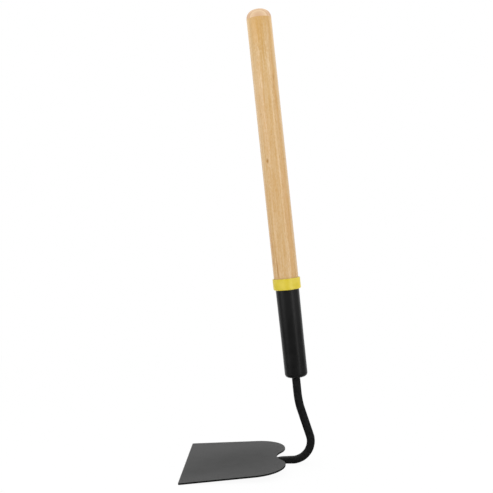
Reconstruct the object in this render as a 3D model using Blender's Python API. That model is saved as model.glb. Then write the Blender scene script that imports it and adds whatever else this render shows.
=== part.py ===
"""Garden hoe with a short wooden handle.

The hoe stands on the ground as it does when it is put down: on its cutting edge and on the heel of its
gooseneck. X runs from the cutting edge to the gooseneck, Y across the blade, Z up. The origin is on the
ground, under the middle of the hoe's box. The hoe is symmetric about the plane Y = 0.
"""

import math

import bmesh
import bpy
from mathutils import Matrix, Vector

# Gap kept between pieces that touch
FIT_GAP = 0.0003

# Wooden handle, above the ferrule's mouth
GRIP_LENGTH = 0.3149
WOOD_DIAMETER_BASE = 0.0286
WOOD_DIAMETER_TOP = 0.0285
WOOD_END_HEIGHT = 0.0122
WOOD_END_FULLNESS = 2.45
HANDLE_LEAN = math.radians(5.4)

# Plastic collar over the joint of wood and steel
COLLAR_DIAMETER = 0.0318
COLLAR_LENGTH = 0.0131
COLLAR_OVERLAP = 0.0060
COLLAR_TOP_ROUND = 0.0006
COLLAR_BOTTOM_ROUND = 0.0018

# Steel ferrule: a cup that tapers from its mouth to a straight foot
FERRULE_LENGTH = 0.1077
FERRULE_DIAMETER = 0.0263
FERRULE_MOUTH_DIAMETER = 0.0271
FERRULE_STRAIGHT = 0.038
FERRULE_WALL = 0.0013
FERRULE_CORNER = 0.0045

# Shank, from the tang in the wood down to the neck
ROD_DIAMETER = 0.0097
TANG_LENGTH = 0.095
TANG_TIP_DIAMETER = 0.0055
TANG_POINT = 0.004
TANG_OFFSET = 0.0008
NECK_LENGTH = 0.0292
NECK_RADIUS = 0.090
NECK_HEIGHT = 0.0722
SHANK_SLOPE = math.radians(18)

# Shank, from the heel's bend to the tongue that is welded under the blade
HEEL_RADIUS = 0.022
HEEL_THICKNESS = 0.0085
HEEL_WIDTH = 0.0102
HEEL_REACH = 0.0175
LEG_THICKNESS = 0.0079
LEG_STEP = 0.0055
TONGUE_THICKNESS = 0.0066
TONGUE_WIDTH = 0.0130
TONGUE_LENGTH = 0.028
TONGUE_TIP_THICKNESS = 0.0040
TONGUE_TIP_WIDTH = 0.0066
TONGUE_TIP_ROUND = 0.0040

# Blade
BLADE_WIDTH = 0.159
BLADE_LENGTH = 0.1162
BLADE_THICKNESS = 0.0019
BLADE_FLARE = math.radians(6.1)
BLADE_CORNER = 0.0015
LOBE_RADIUS = 0.0384
LOBE_INNER_RADIUS = 0.030
NOTCH_DEPTH = 0.0100

# Weld beads in the corners between tongue and blade
WELD_LEG = 0.0042
WELD_BULGE = 0.0005
WELD_MARGIN = 0.0030
WELD_END = 0.0020
WELD_END_SHARE = 0.5

# How finely the round shapes are divided
TURNED_STEPS = 48
ROD_SIDES = 24
END_STEPS = 8
ROUND_STEPS = 4
LOBE_STEPS = 12
LOBE_INNER_STEPS = 6
NOTCH_STEPS = 6
CORNER_STEPS = 3
HEEL_STEPS = 18
NECK_STEPS = 5
TIP_STEPS = 3
WELD_STEPS = 3
MERGE_DISTANCE = 0.000001
SMOOTH_ANGLE = math.radians(35)


def clear_scene():
    for old in list(bpy.data.objects):
        bpy.data.objects.remove(old, do_unlink=True)


def linear(level):
    """One sRGB level from 0 to 255 as the linear value that a shader takes."""
    share = level / 255
    return share / 12.92 if share <= 0.04045 else ((share + 0.055) / 1.055) ** 2.4


def finish(name, levels, roughness, metallic=0.0):
    material = bpy.data.materials.new(name)
    material.use_nodes = True
    colour = [linear(level) for level in levels] + [1.0]
    shader = material.node_tree.nodes["Principled BSDF"]
    shader.inputs["Base Color"].default_value = colour
    shader.inputs["Roughness"].default_value = roughness
    shader.inputs["Metallic"].default_value = metallic
    material.diffuse_color = colour
    return material


def guide(name, place, parent=None):
    """An empty that carries pieces: where they stand and how they lean is written once, in its matrix."""
    empty = bpy.data.objects.new(name, None)
    bpy.context.scene.collection.objects.link(empty)
    empty.parent = parent
    empty.matrix_local = place
    return empty


def piece(name, bm, material, parent):
    """Turns a bmesh into a named object on its parent, with its faces pointing outwards."""
    bmesh.ops.remove_doubles(bm, verts=bm.verts, dist=MERGE_DISTANCE)
    bmesh.ops.recalc_face_normals(bm, faces=bm.faces)
    mesh = bpy.data.meshes.new(name)
    bm.to_mesh(mesh)
    bm.free()
    mesh.shade_smooth()
    mesh.set_sharp_from_angle(angle=SMOOTH_ANGLE)
    mesh.materials.append(material)
    body = bpy.data.objects.new(name, mesh)
    bpy.context.scene.collection.objects.link(body)
    body.parent = parent
    return body


def arc(centre, radius, start, end, steps):
    """Points of an arc in a plane, both ends included, with angles from the plane's first axis."""
    angles = [start + (end - start) * i / steps for i in range(steps + 1)]
    return [(centre[0] + radius * math.cos(a), centre[1] + radius * math.sin(a)) for a in angles]


def turned(profile, closed=False):
    """A profile of (radius, height) points, spun once round Z."""
    bm = bmesh.new()
    verts = [bm.verts.new((radius, 0, height)) for radius, height in profile]
    edges = [bm.edges.new(pair) for pair in zip(verts, verts[1:])]
    if closed:
        edges.append(bm.edges.new((verts[-1], verts[0])))
    bmesh.ops.spin(
        bm,
        geom=verts + edges,
        cent=(0, 0, 0),
        axis=(0, 0, 1),
        angle=math.tau,
        steps=TURNED_STEPS,
        use_merge=True,
    )
    return bm


def swept(rings):
    """Skins a row of closed rings, each a list of points, and closes both ends."""
    bm = bmesh.new()
    loops = []
    for points in rings:
        verts = [bm.verts.new(point) for point in points]
        loops.append([bm.edges.new(pair) for pair in zip(verts, verts[1:] + verts[:1])])
    for low, high in zip(loops, loops[1:]):
        bmesh.ops.bridge_loops(bm, edges=low + high)
    for end in (loops[0], loops[-1]):
        bmesh.ops.contextual_create(bm, geom=end)
    return bm


def cut(body, cutter):
    """Takes the cutter's shape out of the body, with a modifier that stays live."""
    boolean = body.modifiers.new("cut_" + cutter.name, "BOOLEAN")
    boolean.operation = "DIFFERENCE"
    boolean.solver = "EXACT"
    boolean.object = cutter
    cutter.hide_render = True
    cutter.display_type = "WIRE"


# Heights along the handle's axis, from the outside of the ferrule's bottom
FERRULE_FLOOR = FERRULE_WALL + FIT_GAP
SHOULDER_HEIGHT = FERRULE_LENGTH + FIT_GAP
WOOD_TOP = SHOULDER_HEIGHT + GRIP_LENGTH
COLLAR_BOTTOM = FERRULE_LENGTH - COLLAR_OVERLAP
COLLAR_TOP = COLLAR_BOTTOM + COLLAR_LENGTH
TANG_TOP = FERRULE_WALL + TANG_LENGTH
TANG_TAPER_START = 2 * FERRULE_WALL


def wood_radius(height):
    """The grip's slow taper, from the ferrule's mouth to the rounded end."""
    share = (height - SHOULDER_HEIGHT) / GRIP_LENGTH
    return (WOOD_DIAMETER_BASE + (WOOD_DIAMETER_TOP - WOOD_DIAMETER_BASE) * share) / 2


def ferrule_wall(inset):
    """The ferrule's outside, moved inwards by inset: its rounded corner, straight foot and taper."""
    radius = FERRULE_DIAMETER / 2
    centre = (radius - FERRULE_CORNER, FERRULE_CORNER)
    wall = arc(centre, FERRULE_CORNER - inset, -math.pi / 2, 0, ROUND_STEPS)
    wall.append((radius - inset, FERRULE_CORNER + FERRULE_STRAIGHT))
    wall.append((FERRULE_MOUTH_DIAMETER / 2 - inset, FERRULE_LENGTH))
    return wall


def make_ferrule(axis, material):
    outside = [(0, 0)] + ferrule_wall(0)
    inside = [(0, FERRULE_WALL)] + ferrule_wall(FERRULE_WALL)
    return piece("ferrule", turned(outside + inside[::-1]), material, axis)


def make_handle(axis, material):
    """Spigot, shoulder, tapered grip and an end rounded fuller than a ball."""
    wall = ferrule_wall(FERRULE_FLOOR)
    spigot = [(0, FERRULE_FLOOR)] + wall + [(wall[-1][0], SHOULDER_HEIGHT)]
    end_start = WOOD_TOP - WOOD_END_HEIGHT
    end_radius = wood_radius(end_start)
    grip = [(wood_radius(SHOULDER_HEIGHT), SHOULDER_HEIGHT), (end_radius, end_start)]
    power = 2 / WOOD_END_FULLNESS
    turns = [math.pi / 2 * i / END_STEPS for i in range(1, END_STEPS)]
    rounding = [
        (end_radius * math.cos(a) ** power, end_start + WOOD_END_HEIGHT * math.sin(a) ** power) for a in turns
    ]
    return piece("handle", turned(spigot + grip + rounding + [(0, WOOD_TOP)]), material, axis)


def make_collar(axis, material):
    """A ring with a stepped bore: wide over the wood, narrower over the ferrule's mouth."""
    outer = COLLAR_DIAMETER / 2
    wood_bore = wood_radius(COLLAR_TOP) + FIT_GAP
    ferrule_bore = FERRULE_MOUTH_DIAMETER / 2 + FIT_GAP
    step = SHOULDER_HEIGHT - FIT_GAP
    bottom_centre = (outer - COLLAR_BOTTOM_ROUND, COLLAR_BOTTOM + COLLAR_BOTTOM_ROUND)
    top_centre = (outer - COLLAR_TOP_ROUND, COLLAR_TOP - COLLAR_TOP_ROUND)
    profile = [(ferrule_bore, COLLAR_BOTTOM)]
    profile += arc(bottom_centre, COLLAR_BOTTOM_ROUND, -math.pi / 2, 0, ROUND_STEPS)
    profile += arc(top_centre, COLLAR_TOP_ROUND, 0, math.pi / 2, ROUND_STEPS)
    profile += [(wood_bore, COLLAR_TOP), (wood_bore, step), (ferrule_bore, step)]
    return piece("collar", turned(profile, closed=True), material, axis)


def make_tang_bore(axis):
    """The room that the tang has in the ferrule's bottom and in the wood, a gap wider all round."""
    rod = ROD_DIAMETER / 2 + FIT_GAP
    tip = TANG_TIP_DIAMETER / 2 + FIT_GAP
    top = TANG_TOP + FIT_GAP
    profile = [(0, -FERRULE_WALL), (rod, -FERRULE_WALL), (rod, TANG_TAPER_START), (tip, top), (0, top)]
    bore = piece("tang_bore", turned(profile), None, axis)
    bore.location.x = -TANG_OFFSET
    return bore


# The shank's line in the plane Y = 0, where a direction is an angle from +X towards +Z
NOTCH_DISTANCE = BLADE_LENGTH - NOTCH_DEPTH
BLADE_RISE = math.asin((TONGUE_THICKNESS + FIT_GAP) / NOTCH_DISTANCE)
NOTCH_X = NOTCH_DISTANCE * math.cos(BLADE_RISE)
SLOPE_DIRECTION = math.pi / 2 + SHANK_SLOPE
AXIS_DIRECTION = math.pi / 2 + HANDLE_LEAN


def along(direction):
    return Vector((math.cos(direction), 0, math.sin(direction)))


def right_of(direction):
    return along(direction - math.pi / 2)


HEEL_CENTRE = Vector((NOTCH_X + HEEL_REACH, 0, HEEL_THICKNESS / 2 + HEEL_RADIUS))
HEEL_END = HEEL_CENTRE + right_of(SLOPE_DIRECTION) * HEEL_RADIUS
NECK_RISE = (NECK_HEIGHT - HEEL_END.z) / math.sin(SLOPE_DIRECTION)
NECK_CORNER = HEEL_END + along(SLOPE_DIRECTION) * NECK_RISE
NECK_TANGENT = NECK_RADIUS * math.tan((SLOPE_DIRECTION - AXIS_DIRECTION) / 2)
NECK_CENTRE = NECK_CORNER - along(SLOPE_DIRECTION) * NECK_TANGENT + right_of(SLOPE_DIRECTION) * NECK_RADIUS
TANG_START = NECK_CORNER + along(AXIS_DIRECTION) * NECK_LENGTH
FERRULE_FOOT = TANG_START + right_of(AXIS_DIRECTION) * TANG_OFFSET


def mix(low, high, share):
    return low + (high - low) * share


def tongue_station(distance, width):
    """The tongue at a distance in from the notch: its top follows the blade, its foot leaves the ground."""
    x = NOTCH_X - distance
    top = x * math.tan(BLADE_RISE) - FIT_GAP
    tip_top = (NOTCH_X - TONGUE_LENGTH) * math.tan(BLADE_RISE) - FIT_GAP
    foot = (tip_top - TONGUE_TIP_THICKNESS) * distance / TONGUE_LENGTH
    return Vector((x, 0, (top + foot) / 2)), 0, top - foot, width


def shank_stations():
    """(centre, direction, thickness, width) of the bar, from the tongue's tip to the tang's tip."""
    stations = []
    for i in range(TIP_STEPS + 1):
        turn = math.pi / 2 * i / TIP_STEPS
        distance = TONGUE_LENGTH - TONGUE_TIP_ROUND * (1 - math.cos(turn))
        stations.append(tongue_station(distance, mix(TONGUE_TIP_WIDTH, TONGUE_WIDTH, math.sin(turn))))
    stations.append(tongue_station(LEG_STEP, TONGUE_WIDTH))
    stations.append(tongue_station(0, (TONGUE_WIDTH + HEEL_WIDTH) / 2))
    leg_centre = Vector((NOTCH_X + LEG_STEP, 0, LEG_THICKNESS / 2))
    stations.append((leg_centre, 0, LEG_THICKNESS, HEEL_WIDTH))
    for i in range(HEEL_STEPS + 1):
        share = i / HEEL_STEPS
        direction = SLOPE_DIRECTION * share
        thickness = mix(HEEL_THICKNESS, ROD_DIAMETER, share)
        width = mix(HEEL_WIDTH, ROD_DIAMETER, share)
        stations.append((HEEL_CENTRE + right_of(direction) * HEEL_RADIUS, direction, thickness, width))
    for i in range(NECK_STEPS + 1):
        direction = mix(SLOPE_DIRECTION, AXIS_DIRECTION, i / NECK_STEPS)
        centre = NECK_CENTRE - right_of(direction) * NECK_RADIUS
        stations.append((centre, direction, ROD_DIAMETER, ROD_DIAMETER))
    tang = [
        (0, ROD_DIAMETER),
        (TANG_TAPER_START, ROD_DIAMETER),
        (TANG_TOP - TANG_POINT, TANG_TIP_DIAMETER),
        (TANG_TOP, TANG_TIP_DIAMETER / 2),
    ]
    for height, diameter in tang:
        stations.append((TANG_START + along(AXIS_DIRECTION) * height, AXIS_DIRECTION, diameter, diameter))
    return stations


def bar_ring(centre, direction, thickness, width):
    """Round bar, or bar hammered flat: half rounds of its thickness, set apart to its width."""
    spread = (width - thickness) / 2
    ring = []
    for i in range(ROD_SIDES):
        angle = math.tau * i / ROD_SIDES
        side = thickness / 2 * math.cos(angle)
        if abs(side) > MERGE_DISTANCE:
            side += math.copysign(spread, side)
        up = -right_of(direction) * thickness / 2 * math.sin(angle)
        ring.append(centre + up + Vector((0, side, 0)))
    return ring


def make_shank(stand, material):
    rings = [bar_ring(*station) for station in shank_stations()]
    return piece("shank", swept(rings), material, stand)


def side_offset(distance, radius):
    """How far from the middle a round of this radius has its centre, where it touches the flared side."""
    return BLADE_WIDTH / 2 - distance * math.tan(BLADE_FLARE) - radius / math.cos(BLADE_FLARE)


def blade_half_outline():
    """One half of the blade's outline, from the cutting edge round the corner and the lobe to the notch."""
    lobe = (BLADE_LENGTH - LOBE_RADIUS, side_offset(BLADE_LENGTH - LOBE_RADIUS, LOBE_RADIUS))
    lobe_inside = (BLADE_LENGTH - LOBE_INNER_RADIUS, lobe[1])
    reach = (lobe[1] ** 2 + NOTCH_DEPTH**2) / (2 * NOTCH_DEPTH)
    notch_radius = reach - LOBE_INNER_RADIUS
    notch = (NOTCH_DISTANCE + notch_radius, 0)
    corner = (BLADE_CORNER, side_offset(BLADE_CORNER, BLADE_CORNER))
    side = math.pi / 2 - BLADE_FLARE
    meet = math.atan2(notch[1] - lobe_inside[1], notch[0] - lobe_inside[0])
    outline = arc(corner, BLADE_CORNER, math.pi, side, CORNER_STEPS)
    outline += arc(lobe, LOBE_RADIUS, side, 0, LOBE_STEPS)
    outline += arc(lobe_inside, LOBE_INNER_RADIUS, 0, meet, LOBE_INNER_STEPS)[1:]
    outline += arc(notch, notch_radius, meet + math.pi, math.pi, NOTCH_STEPS)[1:]
    return outline


def make_blade(plate, material):
    half = blade_half_outline()
    other_half = [(x, -y) for x, y in half[-2::-1]]
    bm = bmesh.new()
    verts = [bm.verts.new((x, y, 0)) for x, y in half + other_half]
    underside = bm.faces.new(verts)
    top = bmesh.ops.extrude_face_region(bm, geom=[underside], use_keep_orig=True)["geom"]
    raised = [element for element in top if isinstance(element, bmesh.types.BMVert)]
    bmesh.ops.translate(bm, vec=(0, 0, BLADE_THICKNESS), verts=raised)
    return piece("blade", bm, material, plate)


def make_weld(name, side, plate, material):
    """A fillet bead under the blade, along one side of the tongue."""
    wall = TONGUE_WIDTH / 2 + FIT_GAP
    start = NOTCH_DISTANCE - TONGUE_LENGTH + TONGUE_TIP_ROUND
    end = NOTCH_DISTANCE - WELD_MARGIN
    stations = [(start, WELD_END_SHARE), (start + WELD_END, 1), (end - WELD_END, 1), (end, WELD_END_SHARE)]
    rings = []
    for x, size in stations:
        leg = WELD_LEG * size
        section = [(wall, -FIT_GAP)]
        for i in range(WELD_STEPS + 1):
            share = i / WELD_STEPS
            bulge = WELD_BULGE * size * math.sin(math.pi * share)
            section.append((wall + leg * (1 - share) + bulge, -FIT_GAP - leg * share - bulge))
        rings.append([(x, side * y, z) for y, z in section])
    return piece(name, swept(rings), material, plate)


def main():
    clear_scene()
    wood = finish("hardwood", (219, 178, 129), 0.5)
    yellow_plastic = finish("yellow_plastic", (219, 200, 81), 0.4)
    black_paint = finish("black_paint", (34, 34, 34), 0.4)
    black_scale = finish("matt_black_steel", (26, 26, 26), 0.65)
    grey_coat = finish("grey_coated_steel", (88, 88, 88), 0.55)
    weld_metal = finish("painted_weld", (60, 60, 60), 0.6)

    rear = -BLADE_THICKNESS * math.sin(BLADE_RISE)
    bar_at_front = mix(HEEL_THICKNESS, ROD_DIAMETER, math.pi / 2 / SLOPE_DIRECTION)
    front = HEEL_CENTRE.x + HEEL_RADIUS + bar_at_front / 2
    stand = guide("stand", Matrix.Translation((-(rear + front) / 2, 0, 0)))
    plate = guide("blade_plane", Matrix.Rotation(-BLADE_RISE, 4, "Y"), stand)
    lean = Matrix.Rotation(-HANDLE_LEAN, 4, "Y")
    axis = guide("handle_axis", Matrix.Translation(FERRULE_FOOT) @ lean, stand)

    handle = make_handle(axis, wood)
    make_collar(axis, yellow_plastic)
    ferrule = make_ferrule(axis, black_paint)
    tang_bore = make_tang_bore(axis)
    cut(handle, tang_bore)
    cut(ferrule, tang_bore)
    make_shank(stand, black_scale)
    make_blade(plate, grey_coat)
    make_weld("weld_left", -1, plate, weld_metal)
    make_weld("weld_right", 1, plate, weld_metal)


main()
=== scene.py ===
# %% [markdown]
# # A short garden hoe
#
# This lesson dresses a garden hoe: a turned wooden handle, a yellow plastic collar, a black steel ferrule,
# a bent bar with a flattened tongue, and a flat blade that is welded to it. The plain solids of the hoe
# already exist at their real size. They load first, as a frame that nothing here moves. Each of them then
# gets a finer piece in its own place, and every piece gets a finish that is built from shader nodes.
#
# Shapes are in metres. Only the finishes count in millimetres, because grain and scratches are so small.

# %% Load the frame
import math

import bmesh
import bpy
from mathutils import Matrix, Vector, noise


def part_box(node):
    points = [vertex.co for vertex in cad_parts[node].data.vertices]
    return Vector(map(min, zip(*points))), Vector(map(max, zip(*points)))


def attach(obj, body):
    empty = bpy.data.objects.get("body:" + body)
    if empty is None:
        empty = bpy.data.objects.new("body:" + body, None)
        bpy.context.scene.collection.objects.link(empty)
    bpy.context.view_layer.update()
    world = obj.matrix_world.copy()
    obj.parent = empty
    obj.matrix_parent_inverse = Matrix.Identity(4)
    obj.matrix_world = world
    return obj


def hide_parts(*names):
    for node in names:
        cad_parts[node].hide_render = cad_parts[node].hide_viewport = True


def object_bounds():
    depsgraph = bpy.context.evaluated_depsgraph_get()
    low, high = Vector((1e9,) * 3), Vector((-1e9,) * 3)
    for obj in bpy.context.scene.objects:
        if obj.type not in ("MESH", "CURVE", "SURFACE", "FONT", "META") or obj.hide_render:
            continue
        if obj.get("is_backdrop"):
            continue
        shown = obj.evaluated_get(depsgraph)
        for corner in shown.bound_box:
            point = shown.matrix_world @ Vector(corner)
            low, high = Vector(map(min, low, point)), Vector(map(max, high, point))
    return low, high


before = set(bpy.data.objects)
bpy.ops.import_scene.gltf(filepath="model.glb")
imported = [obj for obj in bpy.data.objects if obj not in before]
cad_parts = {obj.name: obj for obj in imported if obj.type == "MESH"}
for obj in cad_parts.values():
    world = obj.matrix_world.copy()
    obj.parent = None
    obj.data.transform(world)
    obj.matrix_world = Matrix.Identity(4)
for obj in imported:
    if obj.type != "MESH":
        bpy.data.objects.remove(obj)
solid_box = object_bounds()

MILLIMETRES = 1000


def in_millimetres(values, digits=1):
    return [round(MILLIMETRES * value, digits) for value in values]


print("solids:", ", ".join(sorted(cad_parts)))
print("box of the hoe, in mm:", in_millimetres(high - low for low, high in zip(*solid_box)))

# %% [markdown]
# ## Where things are
#
# The hoe stands on its cutting edge and on the heel of its bent bar. Three places carry all pieces. The
# stand is the ground under the cutting edge. The plate is the sloping plane of the blade. The axis is the
# line of the handle, which leans back a little. Each is a matrix that takes a simple local shape to its
# real place, so a handle can be turned round Z and then leaned as a whole.
#
# The blade's lowest corner in X is the one point that the frame is asked for. The other places follow from
# the hoe's own sizes.

# %% Sizes that place the pieces
FIT_GAP = 0.0003
BLADE_LENGTH = 0.1162
BLADE_THICKNESS = 0.0019
NOTCH_DEPTH = 0.0100
TONGUE_THICKNESS = 0.0066
HANDLE_LEAN = math.radians(5.4)
SHANK_SLOPE = math.radians(18)

HEEL_RADIUS = 0.022
HEEL_THICKNESS = 0.0085
HEEL_REACH = 0.0175
NECK_HEIGHT = 0.0722
NECK_LENGTH = 0.0292
NECK_RADIUS = 0.090
TANG_OFFSET = 0.0008

notch_distance = BLADE_LENGTH - NOTCH_DEPTH
blade_rise = math.asin((TONGUE_THICKNESS + FIT_GAP) / notch_distance)
notch_x = notch_distance * math.cos(blade_rise)
slope_direction = math.pi / 2 + SHANK_SLOPE
axis_direction = math.pi / 2 + HANDLE_LEAN
print("blade rises by", round(math.degrees(blade_rise), 2), "degrees")


# %% Places that carry the pieces
def along(direction):
    """A unit step in the plane Y = 0, for an angle from +X towards +Z."""
    return Vector((math.cos(direction), 0, math.sin(direction)))


def right_of(direction):
    return along(direction - math.pi / 2)


heel_centre = Vector((notch_x + HEEL_REACH, 0, HEEL_THICKNESS / 2 + HEEL_RADIUS))
heel_end = heel_centre + right_of(slope_direction) * HEEL_RADIUS
neck_rise = (NECK_HEIGHT - heel_end.z) / math.sin(slope_direction)
neck_corner = heel_end + along(slope_direction) * neck_rise
neck_tangent = NECK_RADIUS * math.tan((slope_direction - axis_direction) / 2)
neck_start = neck_corner - along(slope_direction) * neck_tangent
neck_centre = neck_start + right_of(slope_direction) * NECK_RADIUS
tang_start = neck_corner + along(axis_direction) * NECK_LENGTH
ferrule_foot = tang_start + right_of(axis_direction) * TANG_OFFSET

cutting_edge_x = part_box("blade")[0].x + BLADE_THICKNESS * math.sin(blade_rise)
stand_place = Matrix.Translation((cutting_edge_x, 0, 0))
plate_place = stand_place @ Matrix.Rotation(-blade_rise, 4, "Y")
axis_place = stand_place @ Matrix.Translation(ferrule_foot) @ Matrix.Rotation(-HANDLE_LEAN, 4, "Y")
print("foot of the ferrule, in mm:", in_millimetres(axis_place.translation))

# %% [markdown]
# ## Turning a profile
#
# Handle, collar and ferrule are round. On the real hoe they come from a lathe, a mould and a press. In
# Blender a subdivided cylinder would do, but a spun profile says more: its few points are the real radii
# and heights. The spin operator turns them round Z. With use_merge the last copy is sewn to the first, so
# no seam is left.

# %% Spin a profile
TURNED_STEPS = 160
MERGE_DISTANCE = 0.000002


def turned(profile, closed=False):
    """A profile of (radius, height) points, spun once round Z."""
    bm = bmesh.new()
    verts = [bm.verts.new((radius, 0, height)) for radius, height in profile]
    edges = [bm.edges.new(pair) for pair in zip(verts, verts[1:])]
    if closed:
        edges.append(bm.edges.new((verts[-1], verts[0])))
    bmesh.ops.spin(
        bm,
        geom=verts + edges,
        cent=(0, 0, 0),
        axis=(0, 0, 1),
        angle=math.tau,
        steps=TURNED_STEPS,
        use_merge=True,
    )
    bmesh.ops.remove_doubles(bm, verts=bm.verts, dist=MERGE_DISTANCE)
    bmesh.ops.recalc_face_normals(bm, faces=bm.faces)
    return bm


print("a turned piece has", TURNED_STEPS, "steps")

# %% [markdown]
# Corners stay sharp in the profile. They are rounded afterwards with the bevel operator, on the ring of
# edges at that radius and height, as a file or a mould's radius would round them. Smooth shading would bend
# the light on a whole long wall towards such a round. An extra ring of points close to the round, a support
# ring, keeps that bend short and leaves the wall straight.

# %% Round the corners
PICK_DISTANCE = 0.00001
SUPPORT = 0.0006


def supported(low, high, low_round, high_round):
    """A straight wall between two (radius, height) points, with a support ring past the round at each end."""
    height = high[1] - low[1]
    shares = (0, (low_round + SUPPORT) / height, 1 - (high_round + SUPPORT) / height, 1)
    return [(low[0] + (high[0] - low[0]) * share, low[1] + height * share) for share in shares]


def bevel(bm, edges, width, segments):
    bmesh.ops.bevel(
        bm,
        geom=edges,
        offset=width,
        offset_type="OFFSET",
        segments=segments,
        profile=0.5,
        affect="EDGES",
        material=-1,
        clamp_overlap=True,
    )


def at_ring(vert, radius, height):
    reach = math.hypot(vert.co.x, vert.co.y)
    return abs(reach - radius) < PICK_DISTANCE and abs(vert.co.z - height) < PICK_DISTANCE


def round_ring(bm, radius, height, width, segments=4):
    """Rounds the ring of edges at this radius and height."""
    ring = [edge for edge in bm.edges if all(at_ring(vert, radius, height) for vert in edge.verts)]
    bevel(bm, ring, width, segments)


print("support rings stand", *in_millimetres([SUPPORT]), "mm past a round")

# %% [markdown]
# ## Handing a piece over
#
# Paint is thin on outer edges and wears there first. So each piece gets an attribute called rim, in which
# each point stores how sharply the surface turns outwards at it. The finishes read that number later, and
# it follows the piece wherever it goes.

# %% Mark the rims
FULL_RIM_ANGLE = math.radians(24)


def mark_rims(bm):
    """Stores at each point how sharply the surface turns outwards there, from 0 to 1."""
    layer = bm.verts.layers.float.new("rim")
    for vert in bm.verts:
        turns = [edge.calc_face_angle_signed(0.0) for edge in vert.link_edges]
        vert[layer] = min(1.0, max(0.0, max(turns)) / FULL_RIM_ANGLE)


print("a rim counts in full from", round(math.degrees(FULL_RIM_ANGLE)), "degrees")

# %% [markdown]
# A finished mesh needs the same few things each time: its faces point outwards, it moves to its real place,
# and its flat and round parts are told apart by the angle between faces. The piece then takes the place of
# its plain solid, which stays in the scene, hidden.

# %% Hand a piece over
SMOOTH_ANGLE = math.radians(32)


def new_object(name, data):
    """Puts a mesh, a lamp or a camera into the scene."""
    made = bpy.data.objects.new(name, data)
    bpy.context.scene.collection.objects.link(made)
    return made


def report_fit(made, node):
    """Prints how far the piece stands proud of its solid, or falls short of it."""
    low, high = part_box(node)
    corners = [Vector(corner) for corner in made.bound_box]
    offsets = []
    for i in range(3):
        offsets.append(min(corner[i] for corner in corners) - low[i])
        offsets.append(max(corner[i] for corner in corners) - high[i])
    print(made.name, "has", len(made.data.polygons), "faces")
    print("its box differs from the solid's, in mm, by", in_millimetres(offsets, 2))


def hand_over(name, bm, place, node):
    """Makes the object of a finished mesh and puts it in the place of its plain solid."""
    bmesh.ops.remove_doubles(bm, verts=bm.verts, dist=MERGE_DISTANCE)
    bmesh.ops.recalc_face_normals(bm, faces=bm.faces)
    bmesh.ops.transform(bm, matrix=place, verts=bm.verts)
    mark_rims(bm)
    mesh = bpy.data.meshes.new(name)
    bm.to_mesh(mesh)
    bm.free()
    mesh.shade_smooth()
    mesh.set_sharp_from_angle(angle=SMOOTH_ANGLE)
    made = new_object(name, mesh)
    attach(made, "root")
    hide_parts(node)
    report_fit(made, node)
    return made


print("pieces have smooth shading up to", round(math.degrees(SMOOTH_ANGLE)), "degrees")

# %% [markdown]
# ## The wooden handle
#
# The handle is one piece of pale hardwood. Its foot is turned down to a spigot that fills the ferrule, and
# the bar's tang sits in a bore up the middle. The grip tapers by a fraction of a millimetre. Its free end
# is fuller than a ball, so a half circle would look wrong: a superellipse with a power a little over 2
# gives the flat top and the quick shoulder.
#
# The heights below are measured along the handle's axis, from the outside of the ferrule's bottom.

# %% Sizes along the handle
GRIP_LENGTH = 0.3149
WOOD_DIAMETER_BASE = 0.0286
WOOD_DIAMETER_TOP = 0.0285
WOOD_END_HEIGHT = 0.0122
WOOD_END_FULLNESS = 2.45
WOOD_END_STEPS = 22
WOOD_EDGE = 0.0004

FERRULE_LENGTH = 0.1077
FERRULE_DIAMETER = 0.0263
FERRULE_MOUTH_DIAMETER = 0.0271
FERRULE_STRAIGHT = 0.038
FERRULE_WALL = 0.0013
FERRULE_CORNER = 0.0045

ROD_DIAMETER = 0.0097
TANG_LENGTH = 0.095
TANG_TIP_DIAMETER = 0.0055

shoulder_height = FERRULE_LENGTH + FIT_GAP
straight_top = FERRULE_CORNER + FERRULE_STRAIGHT
wood_top = shoulder_height + GRIP_LENGTH
end_start = wood_top - WOOD_END_HEIGHT
tang_top = FERRULE_WALL + TANG_LENGTH
bore_top = tang_top + FIT_GAP
bore_radius = ROD_DIAMETER / 2 + FIT_GAP
print("shoulder, end and top of the wood, in mm:", in_millimetres((shoulder_height, end_start, wood_top)))


# %% Handle
def wood_radius(height):
    share = (height - shoulder_height) / GRIP_LENGTH
    return (WOOD_DIAMETER_BASE + (WOOD_DIAMETER_TOP - WOOD_DIAMETER_BASE) * share) / 2


def rounded_end():
    """The superellipse of the free end, from its widest ring up to the middle."""
    power = 2 / WOOD_END_FULLNESS
    turns = [math.pi / 2 * i / WOOD_END_STEPS for i in range(1, WOOD_END_STEPS)]
    reach = wood_radius(end_start)
    dome = [(reach * math.cos(a) ** power, end_start + WOOD_END_HEIGHT * math.sin(a) ** power) for a in turns]
    return dome + [(0, wood_top)]


def shift_bore(bm, radius, depth):
    """Moves the points of a bore round the axis onto the bar, which stands a little off the axis."""
    low = [vert for vert in bm.verts if vert.co.z < depth + PICK_DISTANCE]
    inner = [vert for vert in low if math.hypot(vert.co.x, vert.co.y) < radius + PICK_DISTANCE]
    bmesh.ops.translate(bm, vec=(-TANG_OFFSET, 0, 0), verts=inner)


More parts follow.
